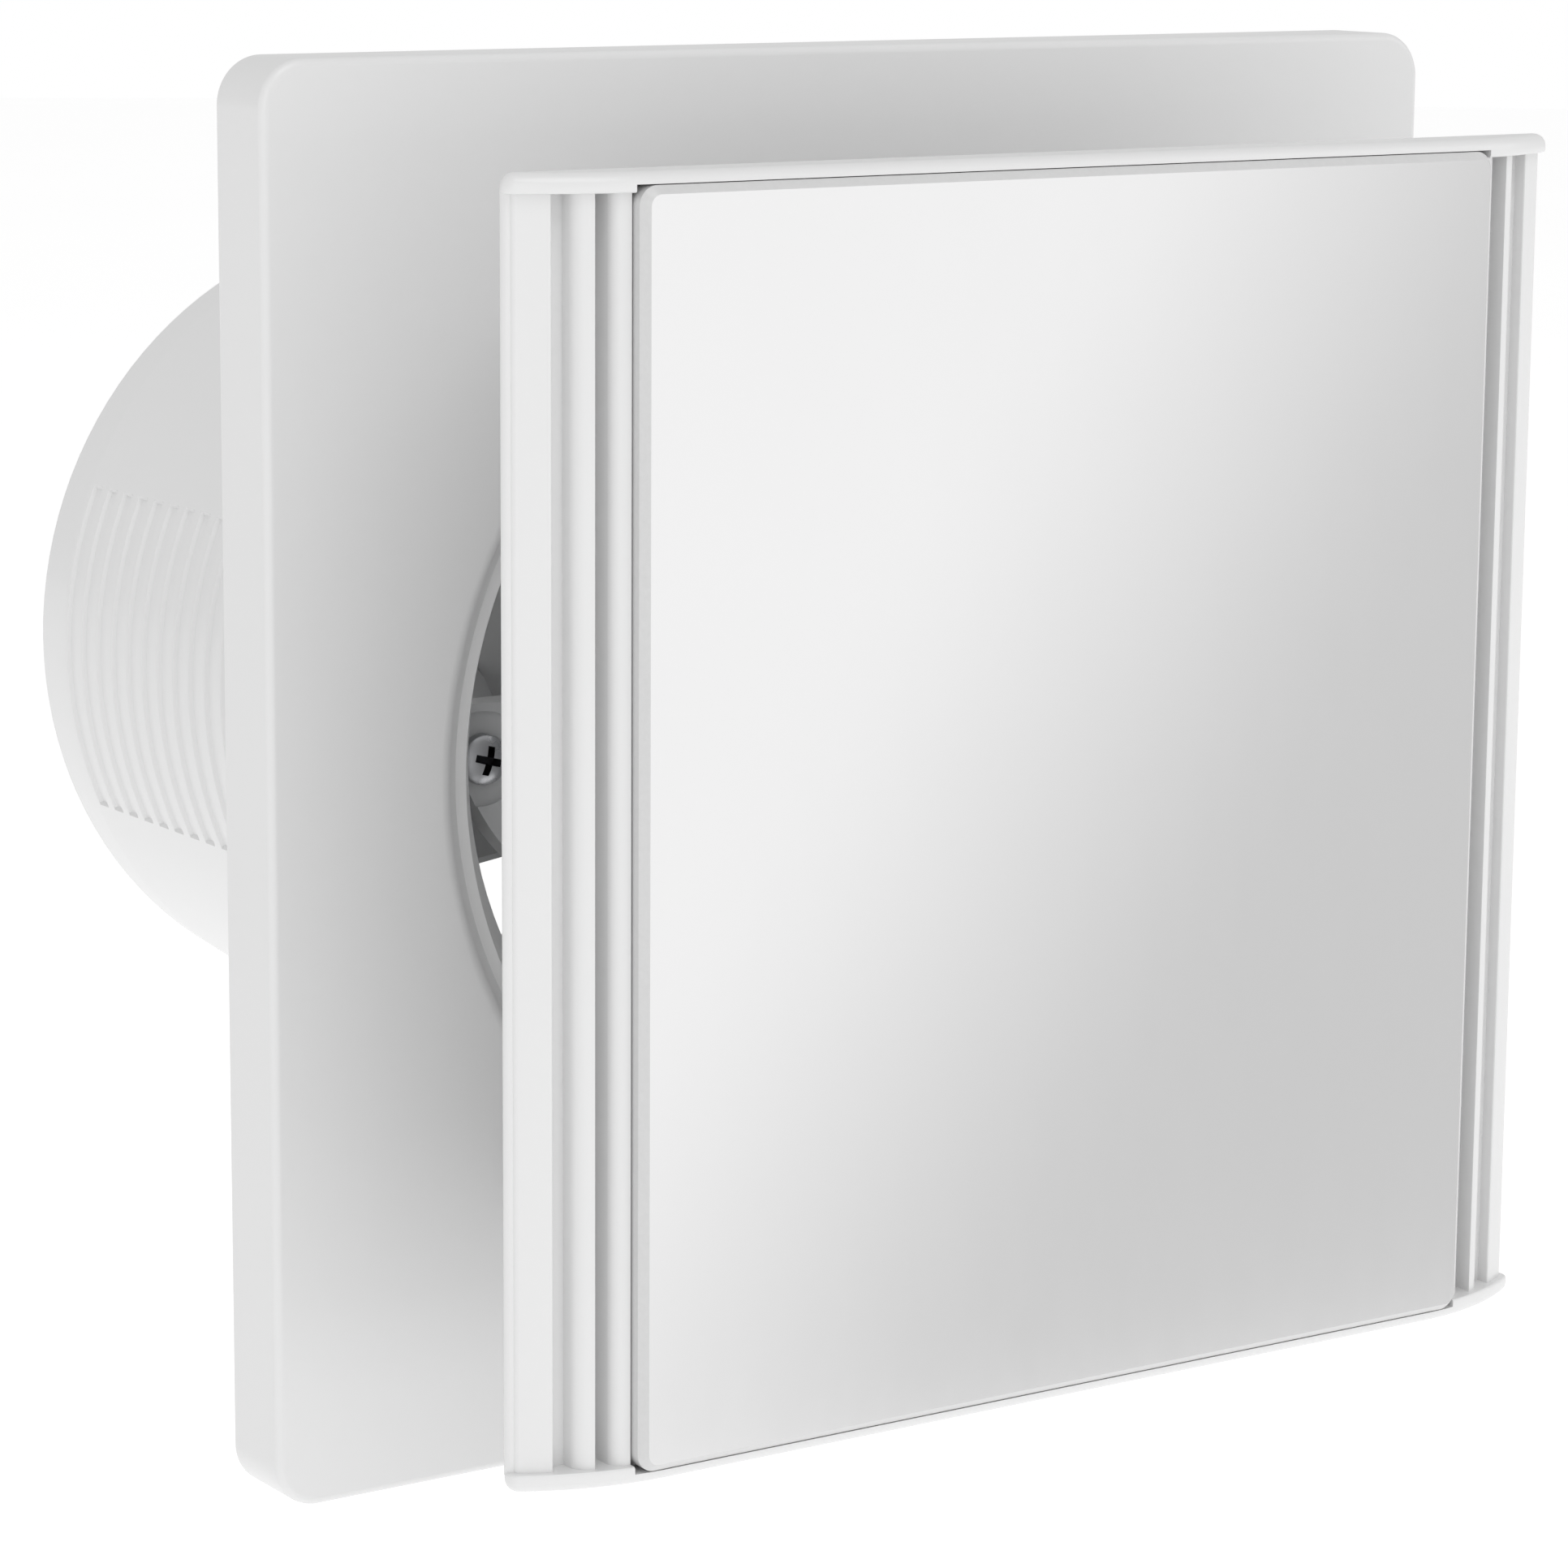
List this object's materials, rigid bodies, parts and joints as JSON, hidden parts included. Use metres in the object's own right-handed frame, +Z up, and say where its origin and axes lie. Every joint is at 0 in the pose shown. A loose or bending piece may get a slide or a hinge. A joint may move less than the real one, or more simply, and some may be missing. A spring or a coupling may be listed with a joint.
{
  "type": "bathroom extractor fan",
  "caption": "Wall-mounted extractor fan: square plate on a round duct spigot, axial wheel inside, and a finned cover with a mirror glass front held off the plate on pegs.",
  "frame": {"origin": "on the duct spigot's axis, in the wall plane (the back of the mounting flange)", "axes": "+Y along the duct, into the wall; -Y towards the room; +Z up; +X to the right seen from the room"},
  "size_m": [0.15, 0.1454, 0.15],
  "materials": {
    "white_abs": "smooth moulded white ABS, half gloss",
    "mirror_glass": "polished silver-grey glass with a ground bevel",
    "grey_moulding": "light grey nylon, satin",
    "white_wheel": "off-white polypropylene, satin",
    "ivory_nylon": "natural nylon",
    "black_nylon": "black glass-filled nylon",
    "zinc_steel": "zinc-plated steel",
    "ground_steel": "ground steel",
    "lamination_steel": "stacked electrical steel, oiled",
    "cast_aluminium": "die cast",
    "copper": "enamelled copper",
    "bronze": "sintered bronze, oil filled",
    "brass": "turned brass",
    "blue_wire": "PVC insulation",
    "grey_rubber": "soft grey rubber",
    "foam_tape": "foam tape"
  },
  "bodies": {
    "root": {"duct_housing": "white_abs", "back_plate": "white_abs", "front_plate": "white_abs", "plate_screws": "zinc_steel", "peg_grommets": "grey_rubber", "cable_grommet": "grey_rubber", "motor_bracket": "grey_moulding", "bracket_screws": "zinc_steel", "terminal_cover": "grey_moulding", "terminal_cover_screws": "zinc_steel", "terminal_block": "ivory_nylon", "terminal_inserts": "brass", "terminal_screws": "zinc_steel", "cable_clamp": "ivory_nylon", "clamp_screws": "zinc_steel", "gland_grommet": "grey_rubber", "motor_leads": "blue_wire", "stator_core": "lamination_steel", "shading_rings": "copper", "coil_bobbins": "black_nylon", "coil_windings": "copper", "front_bridge": "cast_aluminium", "rear_bridge": "cast_aluminium", "front_bush": "bronze", "rear_bush": "bronze", "bush_retainers": "zinc_steel", "motor_screws": "zinc_steel"},
    "wheel": {"rotor_core": "lamination_steel", "rotor_cage": "cast_aluminium", "shaft": "ground_steel", "thrust_washers": "ivory_nylon", "impeller": "white_wheel", "impeller_clip": "zinc_steel"},
    "cover": {"cover_frame": "white_abs", "glass_panel": "mirror_glass", "adhesive_pads": "foam_tape"}
  },
  "joints": [
    {"name": "wheel_spin", "type": "hinge", "parent": "root", "child": "wheel", "pos_m": [0, 0, 0], "axis": [0, 1, 0], "continuous": true},
    {"name": "cover_pull", "type": "slide", "parent": "root", "child": "cover", "axis": [0, -1, 0], "range_m": [0, 0.012]}
  ]
}
